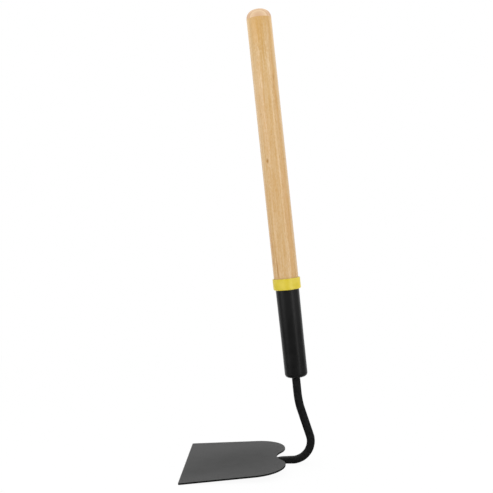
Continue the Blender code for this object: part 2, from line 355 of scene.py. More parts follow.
def wooden_handle():
    inset = FERRULE_WALL + FIT_GAP
    spigot = FERRULE_DIAMETER / 2 - inset
    spigot_top = FERRULE_MOUTH_DIAMETER / 2 - inset
    bore = [(0, bore_top), (TANG_TIP_DIAMETER / 2 + FIT_GAP, bore_top), (bore_radius, inset)]
    foot = [(spigot, inset), (spigot, straight_top), (spigot_top, shoulder_height)]
    shoulder = (wood_radius(shoulder_height), shoulder_height)
    grip = supported(shoulder, (wood_radius(end_start), end_start), WOOD_EDGE, 0)
    bm = turned(bore + foot + grip + rounded_end())
    shift_bore(bm, bore_radius, bore_top)
    round_ring(bm, spigot, inset, FERRULE_CORNER - inset, segments=6)
    round_ring(bm, wood_radius(shoulder_height), shoulder_height, WOOD_EDGE)
    return hand_over("wooden_handle", bm, axis_place, "handle")


handle = wooden_handle()

# %% [markdown]
# ## The plastic collar
#
# A moulded ring hides the step between wood and steel. Its bore has a step too: wide over the wood, narrow
# over the ferrule's mouth. Outside it is plain, with a small radius on top and a large one below, where it
# meets the ferrule. The closed profile is spun as a ring, and the two radii are bevels of unlike width.

# %% Collar
COLLAR_DIAMETER = 0.0318
COLLAR_LENGTH = 0.0131
COLLAR_OVERLAP = 0.0060
COLLAR_TOP_ROUND = 0.0006
COLLAR_BOTTOM_ROUND = 0.0018
COLLAR_LIP_ROUND = 0.0002

collar_bottom = FERRULE_LENGTH - COLLAR_OVERLAP
collar_top = collar_bottom + COLLAR_LENGTH


def plastic_collar():
    outer = COLLAR_DIAMETER / 2
    wood_bore = wood_radius(collar_top) + FIT_GAP
    ferrule_bore = FERRULE_MOUTH_DIAMETER / 2 + FIT_GAP
    step = shoulder_height - FIT_GAP
    wall = supported((outer, collar_bottom), (outer, collar_top), COLLAR_BOTTOM_ROUND, COLLAR_TOP_ROUND)
    inside = [(wood_bore, collar_top), (wood_bore, step), (ferrule_bore, step)]
    bm = turned([(ferrule_bore, collar_bottom)] + wall + inside, closed=True)
    round_ring(bm, outer, collar_bottom, COLLAR_BOTTOM_ROUND, segments=8)
    round_ring(bm, outer, collar_top, COLLAR_TOP_ROUND, segments=5)
    round_ring(bm, wood_bore, collar_top, COLLAR_LIP_ROUND, segments=2)
    return hand_over("plastic_collar", bm, axis_place, "collar")


collar = plastic_collar()

# %% [markdown]
# ## The steel ferrule
#
# The ferrule is a deep cup with a thin wall. It is straight near its foot, widens a little towards the
# mouth, and its bottom corner has a generous radius. The bar comes out of a hole in the bottom, which sits
# a hair off the middle. Spinning a hole off the middle can't be done, so it is spun in the middle, and then
# its two rings of points are moved sideways. The bottom is flat, so it stays flat.

# %% Ferrule
FERRULE_LIP_ROUND = 0.0004


def steel_ferrule():
    foot = FERRULE_DIAMETER / 2
    mouth = FERRULE_MOUTH_DIAMETER / 2
    straight = supported((foot, 0), (foot, straight_top), FERRULE_CORNER, 0)
    flare = supported((foot, straight_top), (mouth, FERRULE_LENGTH), 0, FERRULE_LIP_ROUND)
    outside = straight + flare[1:]
    inside = [(radius - FERRULE_WALL, height) for radius, height in outside]
    inside[0] = (foot - FERRULE_WALL, FERRULE_WALL)
    bore = [(bore_radius, FERRULE_WALL), (bore_radius, 0)]
    bm = turned(outside + inside[::-1] + bore, closed=True)
    shift_bore(bm, bore_radius, FERRULE_WALL)
    round_ring(bm, foot, 0, FERRULE_CORNER, segments=12)
    round_ring(bm, foot - FERRULE_WALL, FERRULE_WALL, FERRULE_CORNER - FERRULE_WALL, segments=8)
    round_ring(bm, mouth, FERRULE_LENGTH, FERRULE_LIP_ROUND)
    return hand_over("steel_ferrule", bm, axis_place, "ferrule")


ferrule = steel_ferrule()

# %% [markdown]
# ## The bent bar
#
# One steel bar makes the tang, the neck, the heel and the tongue. A curve with a round bevel would give a
# hose: the real bar is forged, round at the neck, a little squashed round the heel, and flat and wide at
# the tongue under the blade. So the bar is skinned over rings. The first step lists where the rings stand,
# as stations: a centre, a direction, a thickness and a width.

# %% Stations of the tongue
HEEL_WIDTH = 0.0102
LEG_THICKNESS = 0.0079
LEG_STEP = 0.0055
TONGUE_WIDTH = 0.0130
TONGUE_LENGTH = 0.028
TONGUE_TIP_THICKNESS = 0.0040
TONGUE_TIP_WIDTH = 0.0066
TONGUE_TIP_ROUND = 0.0040
TIP_STEPS = 6


def mix(low, high, share):
    return low + (high - low) * share


def tongue_station(distance, width):
    """The tongue at a distance in from the notch: its top follows the blade, its foot leaves the ground."""
    x = notch_x - distance
    top = x * math.tan(blade_rise) - FIT_GAP
    tip_top = (notch_x - TONGUE_LENGTH) * math.tan(blade_rise) - FIT_GAP
    foot = (tip_top - TONGUE_TIP_THICKNESS) * distance / TONGUE_LENGTH
    return Vector((x, 0, (top + foot) / 2)), 0, top - foot, width


def tongue_stations():
    """The tongue with its rounded tip, and the leg that joins it to the heel."""
    stations = []
    for i in range(TIP_STEPS + 1):
        turn = math.pi / 2 * i / TIP_STEPS
        distance = TONGUE_LENGTH - TONGUE_TIP_ROUND * (1 - math.cos(turn))
        stations.append(tongue_station(distance, mix(TONGUE_TIP_WIDTH, TONGUE_WIDTH, math.sin(turn))))
    stations.append(tongue_station(LEG_STEP, TONGUE_WIDTH))
    stations.append(tongue_station(0, (TONGUE_WIDTH + HEEL_WIDTH) / 2))
    leg_centre = Vector((notch_x + LEG_STEP, 0, LEG_THICKNESS / 2))
    stations.append((leg_centre, 0, LEG_THICKNESS, HEEL_WIDTH))
    return stations


stations = tongue_stations()
print("the tongue and its leg have", len(stations), "stations")

# %% Stations of heel, neck and tang
HEEL_STEPS = 40
NECK_STEPS = 10
TANG_POINT = 0.004
tang_taper_start = 2 * FERRULE_WALL


def heel_station(share):
    direction = slope_direction * share
    thickness = mix(HEEL_THICKNESS, ROD_DIAMETER, share)
    width = mix(HEEL_WIDTH, ROD_DIAMETER, share)
    return heel_centre + right_of(direction) * HEEL_RADIUS, direction, thickness, width


def neck_station(share):
    direction = mix(slope_direction, axis_direction, share)
    return neck_centre - right_of(direction) * NECK_RADIUS, direction, ROD_DIAMETER, ROD_DIAMETER


def tang_stations():
    """The tang, full round through the ferrule's bottom and tapered to a blunt point in the wood."""
    tang = [
        (0, ROD_DIAMETER),
        (tang_taper_start, ROD_DIAMETER),
        (tang_top - TANG_POINT, TANG_TIP_DIAMETER),
        (tang_top, TANG_TIP_DIAMETER / 2),
    ]
    up = along(axis_direction)
    return [(tang_start + up * height, axis_direction, size, size) for height, size in tang]


stations += [heel_station(i / HEEL_STEPS) for i in range(HEEL_STEPS + 1)]
stations += [neck_station(i / NECK_STEPS) for i in range(NECK_STEPS + 1)]
stations += tang_stations()
print("the whole bar has", len(stations), "stations")

# %% [markdown]
# Each ring starts as a circle from create_circle. Its two halves are pushed apart to make it wider than it
# is thick, and it is turned square to the bar.

# %% Rings of the bar
ROD_SIDES = 48


def bar_ring(bm, centre, direction, thickness, width):
    """A circle of the bar's thickness, widened along Y and stood square to the bar. Returns its edges."""
    verts = bmesh.ops.create_circle(bm, segments=ROD_SIDES, radius=thickness / 2)["verts"]
    for side in (-1, 1):
        half = [vert for vert in verts if vert.co.y * side > PICK_DISTANCE]
        bmesh.ops.translate(bm, vec=(0, side * (width - thickness) / 2, 0), verts=half)
    turn = Matrix.Rotation(math.pi / 2 - direction, 4, "Y")
    bmesh.ops.transform(bm, matrix=Matrix.Translation(centre) @ turn, verts=verts)
    ring = set(verts)
    return [edge for edge in bm.edges if edge.verts[0] in ring and edge.verts[1] in ring]


print("a ring has", ROD_SIDES, "points")

# %% [markdown]
# The operator bridge_loops joins each ring to the one before. Forging leaves a skin that is never quite
# smooth. So after the skin is closed, its long edges are divided, and each point sinks by a little noise.
# It only sinks, so the bar stays inside its solid.

# %% Bar
RING_SPACING = 0.0016
FORGE_DEPTH = 0.00012
FORGE_SIZE = 0.0045
FORGE_FINENESS = 3
COARSE_SHARE = 0.7
FINE_SHARE = 0.3


def cuts_for(edge):
    return int(edge.calc_length() / RING_SPACING)


def divide_lengthwise(bm, rings):
    """Divides the long edges between the rings, those of one length together."""
    around = {edge for ring in rings for edge in ring}
    lengthwise = [edge for edge in bm.edges if edge not in around and edge.calc_length() > 2 * RING_SPACING]
    for cuts in sorted({cuts_for(edge) for edge in lengthwise}):
        same = [edge for edge in lengthwise if edge.is_valid and cuts_for(edge) == cuts]
        bmesh.ops.subdivide_edges(bm, edges=same, cuts=cuts, use_grid_fill=True)


def roughen(bm):
    """Sinks each point along its normal by a smooth noise, from nothing to the full depth."""
    bm.normal_update()
    for vert in bm.verts:
        coarse = noise.noise(vert.co / FORGE_SIZE)
        fine = noise.noise(vert.co / FORGE_SIZE * FORGE_FINENESS)
        sink = min(1.0, max(0.0, 0.5 + COARSE_SHARE * coarse + FINE_SHARE * fine))
        vert.co -= vert.normal * FORGE_DEPTH * sink


def forged_bar():
    bm = bmesh.new()
    rings = [bar_ring(bm, *station) for station in stations]
    for low, high in zip(rings, rings[1:]):
        bmesh.ops.bridge_loops(bm, edges=low + high)
    for end in (rings[0], rings[-1]):
        bmesh.ops.contextual_create(bm, geom=end)
    bmesh.ops.recalc_face_normals(bm, faces=bm.faces)
    divide_lengthwise(bm, rings)
    roughen(bm)
    return hand_over("forged_bar", bm, stand_place, "shank")


bar = forged_bar()

# %% [markdown]
# ## The blade
#
# The blade is cut from 1.9 mm plate. Its sides flare by a few degrees and run into two round lobes, and the
# lobes meet in a small round notch over the bar. Half of the outline is four arcs, each tangent to the
# next: the sharp front corner, the wide outside of the lobe, its tighter inside, and the notch. The other
# half is its mirror image.

# %% Outline of the blade
BLADE_WIDTH = 0.159
BLADE_FLARE = math.radians(6.1)
BLADE_CORNER = 0.0015
LOBE_RADIUS = 0.0384
LOBE_INNER_RADIUS = 0.030
CORNER_STEPS = 5
LOBE_STEPS = 36
LOBE_INNER_STEPS = 20
NOTCH_STEPS = 14


def arc(centre, radius, start, end, steps):
    angles = [mix(start, end, i / steps) for i in range(steps + 1)]
    return [(centre[0] + radius * math.cos(a), centre[1] + radius * math.sin(a)) for a in angles]


def side_offset(distance, radius):
    """How far from the middle a round of this radius has its centre, where it touches the flared side."""
    return BLADE_WIDTH / 2 - distance * math.tan(BLADE_FLARE) - radius / math.cos(BLADE_FLARE)


def half_outline():
    """One half of the outline, from the cutting edge round the corner and the lobe to the notch."""
    lobe = (BLADE_LENGTH - LOBE_RADIUS, side_offset(BLADE_LENGTH - LOBE_RADIUS, LOBE_RADIUS))
    lobe_inside = (BLADE_LENGTH - LOBE_INNER_RADIUS, lobe[1])
    reach = (lobe[1] ** 2 + NOTCH_DEPTH**2) / (2 * NOTCH_DEPTH)
    notch_radius = reach - LOBE_INNER_RADIUS
    notch = (notch_distance + notch_radius, 0)
    corner = (BLADE_CORNER, side_offset(BLADE_CORNER, BLADE_CORNER))
    side = math.pi / 2 - BLADE_FLARE
    meet = math.atan2(notch[1] - lobe_inside[1], notch[0] - lobe_inside[0])
    outline = arc(corner, BLADE_CORNER, math.pi, side, CORNER_STEPS)
    outline += arc(lobe, LOBE_RADIUS, side, 0, LOBE_STEPS)
    outline += arc(lobe_inside, LOBE_INNER_RADIUS, 0, meet, LOBE_INNER_STEPS)[1:]
    outline += arc(notch, notch_radius, meet + math.pi, math.pi, NOTCH_STEPS)[1:]
    return outline


outline = half_outline()
outline += [(x, -y) for x, y in outline[-2::-1]]
print("the blade's outline has", len(outline), "points")

# %% [markdown]
# The face is extruded to the plate's thickness. Cut plate has a slightly rolled edge, so both rims get a
# small bevel. Smooth shading would tilt the light on the whole face towards that bevel. A narrow inset ring
# inside the rims stops the tilt close to the edge and leaves the face flat.

# %% Blade
RIM_ROUND = 0.0003
RIM_BAND = 0.0003
RIM_SEGMENTS = 4


def steel_blade():
    bm = bmesh.new()
    underside = bm.faces.new([bm.verts.new((x, y, 0)) for x, y in outline])
    raised = bmesh.ops.extrude_face_region(bm, geom=[underside], use_keep_orig=True)["geom"]
    top_verts = [element for element in raised if isinstance(element, bmesh.types.BMVert)]
    bmesh.ops.translate(bm, vec=(0, 0, BLADE_THICKNESS), verts=top_verts)
    bmesh.ops.recalc_face_normals(bm, faces=bm.faces)
    broad = [face for face in bm.faces if abs(face.normal.z) > 0.5]
    rims = list({edge for face in broad for edge in face.edges})
    bevel(bm, rims, RIM_ROUND, RIM_SEGMENTS)
    broad = [face for face in bm.faces if face.calc_area() > BLADE_LENGTH * BLADE_WIDTH / 2]
    bmesh.ops.inset_region(bm, faces=broad, thickness=RIM_BAND, use_even_offset=True)
    return hand_over("steel_blade", bm, plate_place, "blade")


blade = steel_blade()

# %% [markdown]
# ## The welds
#
# Under the blade a fillet weld runs along each side of the tongue. A weld bead is a row of frozen ripples:
# the pool moves on, stops for a moment and swells. Its section is the quarter round between tongue and
# plate, whose middle runs a little ahead as a ripple's does.

# %% Section and ripples of a weld
WELD_LEG = 0.0042
WELD_BULGE = 0.0005
WELD_MARGIN = 0.0030
WELD_END = 0.0020
WELD_END_SHARE = 0.5
WELD_SECTION_STEPS = 8
WELD_RIPPLES = 15
RIPPLE_DEPTH = 0.09
RIPPLE_LEAD = 0.0011

weld_start = notch_distance - TONGUE_LENGTH + TONGUE_TIP_ROUND
weld_length = notch_distance - WELD_MARGIN - weld_start


def bead_size(share):
    """The bead's size at a share of its length: small at both ends, and rippled between them."""
    from_end = min(share, 1 - share) * weld_length
    ends = mix(WELD_END_SHARE, 1, min(1.0, from_end / WELD_END))
    ripple = abs(math.sin(math.pi * share * WELD_RIPPLES))
    return ends * (1 - RIPPLE_DEPTH * (1 - ripple))


def weld_section(corner, side):
    """The corner, and the round from the plate down to the tongue."""
    points = [corner]
    for i in range(WELD_SECTION_STEPS + 1):
        share = i / WELD_SECTION_STEPS
        swell = math.sin(math.pi * share)
        out = WELD_LEG * (1 - share) + WELD_BULGE * swell
        down = WELD_LEG * share + WELD_BULGE * swell
        points.append(corner + Vector((RIPPLE_LEAD * swell, side * out, -down)))
    return points


print("a weld is", *in_millimetres([weld_length]), "mm long and has", WELD_RIPPLES, "ripples")

# %% [markdown]
# The bead starts as one face of that section. The face is extruded in many short steps, and each step scales
# it by the ripple's swelling, about the corner where tongue and plate meet.

# %% Welds
RIPPLE_STEPS = 6


def weld_bead(name, side, node):
    corner = Vector((weld_start, side * (TONGUE_WIDTH / 2 + FIT_GAP), -FIT_GAP))
    about_corner = Matrix.Translation(-corner)
    bm = bmesh.new()
    front = bm.faces.new([bm.verts.new(point) for point in weld_section(corner, side)])
    size = bead_size(0)
    bmesh.ops.scale(bm, vec=(1, size, size), space=about_corner, verts=front.verts)
    steps = WELD_RIPPLES * RIPPLE_STEPS
    for i in range(1, steps + 1):
        front = bmesh.ops.extrude_discrete_faces(bm, faces=[front])["faces"][0]
        bmesh.ops.translate(bm, vec=((weld_length - RIPPLE_LEAD) / steps, 0, 0), verts=front.verts)
        growth = bead_size(i / steps) / size
        bmesh.ops.scale(bm, vec=(1, growth, growth), space=about_corner, verts=front.verts)
        size = bead_size(i / steps)
    return hand_over(name, bm, plate_place, node)


welds = [weld_bead("weld_bead_left", -1, "weld_left"), weld_bead("weld_bead_right", 1, "weld_right")]

# %% [markdown]
# ## Building finishes from nodes
#
# Every finish below is a tree of shader nodes. Adding a node takes a line for the node and a line for each
# link, so one helper does both: an input is given either a plain value or the output of an earlier node.
# The finished shader is fed in the same way, so a number that is the same all over sits on its own socket.

# %% Helpers for shader nodes
def feed(tree, node, inputs):
    """Gives each input a plain value, or a link from the output socket of an earlier node."""
    for name, value in inputs.items():
        if isinstance(value, bpy.types.NodeSocket):
            tree.links.new(value, node.inputs[name])
        else:
            node.inputs[name].default_value = value


def add(tree, kind, inputs, **settings):
    """Adds a node with its settings and feeds its inputs."""
    made = tree.nodes.new(kind)
    for name, value in settings.items():
        setattr(made, name, value)
    feed(tree, made, inputs)
    return made


def calculate(tree, operation, first, second=0.0):
    return add(tree, "ShaderNodeMath", {0: first, 1: second}, operation=operation).outputs[0]


def calculate_vector(tree, operation, first, second=(0.0, 0.0, 0.0)):
    return add(tree, "ShaderNodeVectorMath", {0: first, 1: second}, operation=operation).outputs["Vector"]


def length_of(tree, vector):
    return add(tree, "ShaderNodeVectorMath", {0: vector}, operation="LENGTH").outputs["Value"]


def parts_of(tree, vector):
    """The X, Y and Z of a vector."""
    return add(tree, "ShaderNodeSeparateXYZ", {0: vector}).outputs


def rescale(tree, value, low, high, to_low=0.0, to_high=1.0):
    """Turns low and high into the new limits, with a soft start and a soft end."""
    inputs = {"Value": value, "From Min": low, "From Max": high, "To Min": to_low, "To Max": to_high}
    return add(tree, "ShaderNodeMapRange", inputs, interpolation_type="SMOOTHSTEP").outputs[0]


def noise_value(tree, vector, size, detail=3.0, roughness=0.5):
    """Noise from 0 to 1 whose features are about this size, in the vector's own units."""
    inputs = {"Vector": vector, "Scale": 1 / size, "Detail": detail, "Roughness": roughness}
    return add(tree, "ShaderNodeTexNoise", inputs).outputs["Fac"]


def stretch(tree, vector, factors):
    """Makes a pattern longer along an axis, where its factor is below 1."""
    return calculate_vector(tree, "MULTIPLY", vector, factors)


print("helpers: feed, add, calculate, rescale, noise_value, stretch")

# %% [markdown]
# A finish also needs colours. They are written as they look on a screen, from 0 to 255, and turned into the
# linear values that a shader takes.

# %% Helpers for colours
def colour(red, green, blue):
    """Screen levels from 0 to 255 as a linear colour."""
    shares = [level / 255 for level in (red, green, blue)]
    return [s / 12.92 if s <= 0.04045 else ((s + 0.055) / 1.055) ** 2.4 for s in shares] + [1.0]


def grey(level):
    return colour(level, level, level)


def blend(tree, share, low, high):
    """A colour between two colours."""
    return add(tree, "ShaderNodeMix", {0: share, 6: low, 7: high}, data_type="RGBA").outputs[2]


def new_material(name):
    """An empty material with its shader. Returns the material, its tree and the shader."""
    material = bpy.data.materials.new(name)
    material.use_nodes = True
    return material, material.node_tree, material.node_tree.nodes["Principled BSDF"]


print("screen level 128 is", round(grey(128)[0], 3))

# %% [markdown]
# And it needs a place. Object coordinates are turned to lie in the piece's own place, so a grain runs up the
# leaning handle and a mark keeps its distance from the blade's edge.

# %% Helpers for places and relief
def local_millimetres(tree, place):
    """Object coordinates turned to lie in a piece's own place, in millimetres."""
    inverse = place.inverted()
    inputs = {
        "Vector": add(tree, "ShaderNodeTexCoord", {}).outputs["Object"],
        "Location": inverse.translation * MILLIMETRES,
        "Rotation": inverse.to_euler(),
        "Scale": (MILLIMETRES, MILLIMETRES, MILLIMETRES),
    }
    return add(tree, "ShaderNodeMapping", inputs, vector_type="POINT").outputs[0]


def distance_from(tree, vector, centre, size):
    """Distance from a point, where size is what counts as 1 along each axis."""
    offset = calculate_vector(tree, "SUBTRACT", vector, centre)
    return length_of(tree, stretch(tree, offset, [1 / length for length in size]))


def soft_spot(tree, vector, centre, size, fade, strength):
    """Nothing outside the first distance of the fade, and the full strength inside the second."""
    return rescale(tree, distance_from(tree, vector, centre, size), *fade, 0.0, strength)


def bump(tree, height, depth):
    """A bump whose height runs from 0 to 1 over a depth in millimetres. Returns its normal."""
    inputs = {"Height": height, "Distance": depth / MILLIMETRES, "Strength": 1.0}
    return add(tree, "ShaderNodeBump", inputs).outputs[0]


print("a finish counts", MILLIMETRES, "units to the metre")

# %% [markdown]
# ## Effects that several finishes share
#
# Neither paint on steel nor moulded plastic is ever quite even. Both have a fine orange peel, slow patches
# of tone, pale spots along outer edges, and scuffs from handling. Five finishes need these, each with its
# own sizes, so each effect is a node group that is built once. A group puts out values only. The shader
# stays in the material.

# %% Coat texture as a node group
COAT_LEVELS = (0.3, 0.7)
COAT_ROUGHNESS = 0.55
PEEL_DETAIL = 2.0
PATCH_DETAIL = 4.0


def new_group(name, values, results):
    """An empty group that takes a vector and named values, and puts out named results."""
    group = bpy.data.node_groups.new(name, "ShaderNodeTree")
    group.interface.new_socket(name="Vector", in_out="INPUT", socket_type="NodeSocketVector")
    for label in values:
        group.interface.new_socket(name=label, in_out="INPUT", socket_type="NodeSocketFloat")
    for label in results:
        group.interface.new_socket(name=label, in_out="OUTPUT", socket_type="NodeSocketFloat")
    return group, group.nodes.new("NodeGroupInput").outputs, group.nodes.new("NodeGroupOutput")


def coat_texture_group():
    """Orange peel and thick patches of a coat, each from 0 to 1."""
    group, given, end = new_group("coat_texture", ["Grain", "Patch"], ["Peel", "Patches"])
    for label, size, detail in (("Peel", "Grain", PEEL_DETAIL), ("Patches", "Patch", PATCH_DETAIL)):
        scale = calculate(group, "DIVIDE", 1.0, given[size])
        inputs = {"Vector": given["Vector"], "Scale": scale, "Detail": detail, "Roughness": COAT_ROUGHNESS}
        value = add(group, "ShaderNodeTexNoise", inputs).outputs["Fac"]
        feed(group, end, {label: rescale(group, value, *COAT_LEVELS)})
    return group


coat_texture = coat_texture_group()
print("first group:", coat_texture.name)

# %% Edge wear and scuffs as node groups
WEAR_NOISE_SIZE = 1.6
WEAR_LEVELS = (0.25, 0.75)
SCRATCH_ANGLES = (0.5, -0.9)
SCRATCH_WIDTH = 0.5
SCRATCH_FACTORS = (1.0, 1.0, 0.04)
SCRATCH_LEVELS = (0.66, 0.76)
RUBBED_SIZE = 14.0
RUBBED_LEVELS = (0.5, 0.7)


def edge_wear_group():
    """Where a coat is thin along outer edges: the rim attribute, broken up by noise."""
    group, given, end = new_group("edge_wear", ["Amount"], ["Wear"])
    rim = add(group, "ShaderNodeAttribute", {}, attribute_name="rim").outputs["Fac"]
    ragged = noise_value(group, given["Vector"], WEAR_NOISE_SIZE, detail=5.0, roughness=0.65)
    reach = calculate(group, "ADD", rim, calculate(group, "SUBTRACT", ragged, 1.0))
    worn = rescale(group, reach, *WEAR_LEVELS)
    feed(group, end, {"Wear": calculate(group, "MULTIPLY", worn, given["Amount"])})
    return group


def scuff_group():
    """Fine scratches in two directions, which show only in rubbed patches, from 0 to 1."""
    group, given, end = new_group("scuffs", ["Density"], ["Scuffs"])
    scratches = []
    for angle in SCRATCH_ANGLES:
        inputs = {"Vector": given["Vector"], "Rotation": (angle, angle, angle)}
        rotated = add(group, "ShaderNodeMapping", inputs).outputs[0]
        streak = noise_value(group, stretch(group, rotated, SCRATCH_FACTORS), SCRATCH_WIDTH, detail=1.0)
        scratches.append(rescale(group, streak, *SCRATCH_LEVELS))
    rubbed = rescale(group, noise_value(group, given["Vector"], RUBBED_SIZE), *RUBBED_LEVELS)
    shown = calculate(group, "MULTIPLY", calculate(group, "MAXIMUM", *scratches), rubbed)
    feed(group, end, {"Scuffs": calculate(group, "MULTIPLY", shown, given["Density"])})
    return group


edge_wear = edge_wear_group()
scuffs = scuff_group()
print("groups:", ", ".join(group.name for group in (coat_texture, edge_wear, scuffs)))


# %% Use the groups
def use_group(tree, group, inputs):
    """Places a shared group in a material. Returns its outputs."""
    return add(tree, "ShaderNodeGroup", inputs, node_tree=group).outputs


def coat_masks(tree, vector, grain, patch, wear, scuffing):
    """The peel, the patches, the worn rims and the scuffs of one coat."""
    coat = use_group(tree, coat_texture, {"Vector": vector, "Grain": grain, "Patch": patch})
    worn = use_group(tree, edge_wear, {"Vector": vector, "Amount": wear})["Wear"]
    marks = use_group(tree, scuffs, {"Vector": vector, "Density": scuffing})["Scuffs"]
    return coat["Peel"], coat["Patches"], worn, marks


print("masks of a coat: peel, patches, worn rims and scuffs")

# %% [markdown]
# ## Wood
#
# The handle is a stick sawn out of a much thicker trunk, so the growth rings are wide arcs round a pith
# that lies outside the stick. A picture of grain would have to be wrapped round it. A solid pattern needs
# no wrapping: each point of the surface asks which ring it lies in, so the sides show long streaks where
# rings come up, the front is a plain broad band, and the rounded end shows arcs, as real wood does. The
# rings come from a Wave texture with ring bands, bent by a slow noise. That texture counts 20 bands to a
# full turn.

# %% Growth rings
PITH = (3.0, 52.0, 0.0)
PITH_TILT = (0.004, 0.003, 0.0)
RING_WIDTH = 3.1
RING_SWAY = 1.4
SWAY_FACTORS = (0.05, 0.05, 0.004)
WAVE_BANDS = 20


def growth_rings(tree, stick, bulge):
    """0 in the pale early wood of a year to 1 in its darker late wood. The bulge moves rings, in mm."""
    slow_inputs = {"Vector": stretch(tree, stick, SWAY_FACTORS), "Scale": 1.0, "Detail": 2.0}
    slow = add(tree, "ShaderNodeTexNoise", slow_inputs).outputs["Color"]
    centred = calculate_vector(tree, "SUBTRACT", slow, (0.5, 0.5, 0.5))
    sway = stretch(tree, centred, (RING_SWAY, RING_SWAY, 0.0))
    tilt = calculate_vector(tree, "MULTIPLY", PITH_TILT, parts_of(tree, stick)["Z"])
    from_pith = calculate_vector(tree, "SUBTRACT", stick, PITH)
    bent = calculate_vector(tree, "ADD", from_pith, sway)
    inputs = {
        "Vector": calculate_vector(tree, "ADD", bent, tilt),
        "Scale": math.tau / (WAVE_BANDS * RING_WIDTH),
        "Distortion": 0.0,
        "Phase Offset": calculate(tree, "MULTIPLY", bulge, math.tau / RING_WIDTH),
    }
    wave = add(tree, "ShaderNodeTexWave", inputs, wave_type="RINGS", rings_direction="Z", wave_profile="SAW")
    return wave.outputs["Fac"]


print("a year of growth is", RING_WIDTH, "mm wide")

# %% [markdown]
# Four noises that are stretched along the handle add streaks, bundles of fibres, flecks and single fibres,
# and a fifth gives the pores. The weighted sum of rings and noises is one number, the grain, and it picks a
# colour between pale and deep. Wood differs more in how yellow it is than in how bright it is, so the two
# colours differ most in blue.

# %% Grain
GRAIN_NOISES = {
    "streaks": {"along": 0.008, "size": 3.2, "detail": 2.0, "roughness": 0.5},
    "bundles": {"along": 0.06, "size": 1.5, "detail": 3.0, "roughness": 0.6},
    "flecks": {"along": 0.35, "size": 1.0, "detail": 2.0, "roughness": 0.6},
    "fibres": {"along": 0.02, "size": 0.5, "detail": 3.0, "roughness": 0.6},
    "pores": {"along": 0.07, "size": 0.28, "detail": 1.0, "roughness": 0.5},
}
GRAIN_WEIGHTS = {"rings": 0.4, "streaks": 0.95, "bundles": 1.7, "flecks": 2.05, "fibres": 1.4}


def wood_layers(tree, stick, bulge):
    """The growth rings and the noises of the grain, each from 0 to 1."""
    layers = {"rings": growth_rings(tree, stick, bulge)}
    for name, look in GRAIN_NOISES.items():
        drawn_out = stretch(tree, stick, (1.0, 1.0, look["along"]))
        layers[name] = noise_value(tree, drawn_out, look["size"], look["detail"], look["roughness"])
    return layers


def grain_value(tree, layers):
    """The weighted sum of the layers, each round its own middle, as a number round one half."""
    total = 0.5
    for name, weight in GRAIN_WEIGHTS.items():
        part = calculate(tree, "MULTIPLY", calculate(tree, "SUBTRACT", layers[name], 0.5), weight)
        total = calculate(tree, "ADD", part, total)
    return total


print("layers of the grain:", ", ".join(GRAIN_WEIGHTS))

# %% [markdown]
# This stick has marks of its own. One small knot sits on the front, and the rings bulge round it. Near the
# top the wood is more golden, above the knot it is rosier, and pale and narrow tan stripes run along the
# grain. Both sides of the grip get painted light, a honey coloured tone near the top and a pale one lower
# down, standing in for the side lamps' light. Towards the foot the whole stick is darkened with painted
# shade, where less of the light from above reaches. A few short brown flecks lie along the grain, and the
# bare end is darker at its sides. Each mark is a soft spot with a place, a size, a colour and a strength, so
# one loop paints them all. Places are in the handle's own millimetres: X to the right, -Y to the front, Z up
# the axis.

# %% Colours of the wood
WOOD_COLOURS = {
    "pale": colour(220, 190, 145),
    "deep": colour(202, 158, 91),
    # The pale tone of streaks on the front, and painted light down both sides of the grip.
    "pale_grain_and_side_light": colour(232, 203, 160),
    "gold": colour(214, 167, 97),
    # Painted light: a honey coloured tone on both sides near the top, standing in for the side lamps' light.
    "painted_side_light": colour(240, 200, 140),
    "rose": colour(221, 184, 143),
    "tan": colour(206, 156, 94),
    "fleck": colour(172, 124, 62),
    "pore": colour(172, 122, 74),
    "knot": colour(164, 112, 24),
    # Painted shade: the colour that darkens the stick towards the foot, where less light falls from above.
    "foot": colour(178, 140, 99),
    "end": colour(236, 208, 172),
    "end_late": colour(214, 175, 139),
    "end_shade": colour(200, 158, 128),
}
print("colours of the wood:", ", ".join(WOOD_COLOURS))

# %% Marks of this stick
WOOD_TONES = (
    ((0, -14, 414), (16, 14, 26), "gold", 0.60),
    ((12, -8, 404), (6, 10, 34), "gold", 0.50),
    ((-4, -13, 396), (8, 8, 22), "gold", 0.80),
    ((-7.5, -12.2, 402), (3.5, 4.5, 26), "gold", 0.35),
    # Painted light on both sides of the grip near the top.
    ((-14, -3, 402), (4, 8, 34), "painted_side_light", 0.80),
    ((14, -3, 400), (4, 8, 40), "painted_side_light", 0.75),
    ((0, -14, 347), (16, 14, 32), "pale_grain_and_side_light", 0.30),
    # Painted light down both sides of the grip.
    ((-12, -8, 320), (3, 8, 130), "pale_grain_and_side_light", 0.55),
    ((13.5, -5, 325), (4, 6, 80), "pale_grain_and_side_light", 0.55),
    ((4.6, -13.5, 262), (1.8, 2.5, 60), "pale_grain_and_side_light", 0.50),
    ((-6.9, -12.5, 178), (2.0, 2.5, 36), "pale_grain_and_side_light", 0.50),
    ((0, -14.3, 298), (2.2, 3, 60), "gold", 0.30),
    ((-9, -10, 305), (9, 12, 60), "rose", 0.40),
    ((-4.4, -13.6, 253), (1.2, 1.6, 9), "pale_grain_and_side_light", 0.70),
    ((-1, -14, 235), (7, 6, 110), "tan", 0.38),
    ((9, -11, 330), (2.2, 3.5, 90), "tan", 0.75),
    ((9, -11, 190), (3.0, 4.5, 90), "tan", 0.85),
    ((-12, -8, 170), (2, 5, 60), "tan", 0.50),
    ((-13, -6, 158), (2, 5, 15), "tan", 0.70),
)
END_TONES = (
    ((-13, -6, 414), (5, 9, 8), "end_shade", 0.80),
    ((13, -6, 416), (4, 9, 8), "end_shade", 0.80),
)
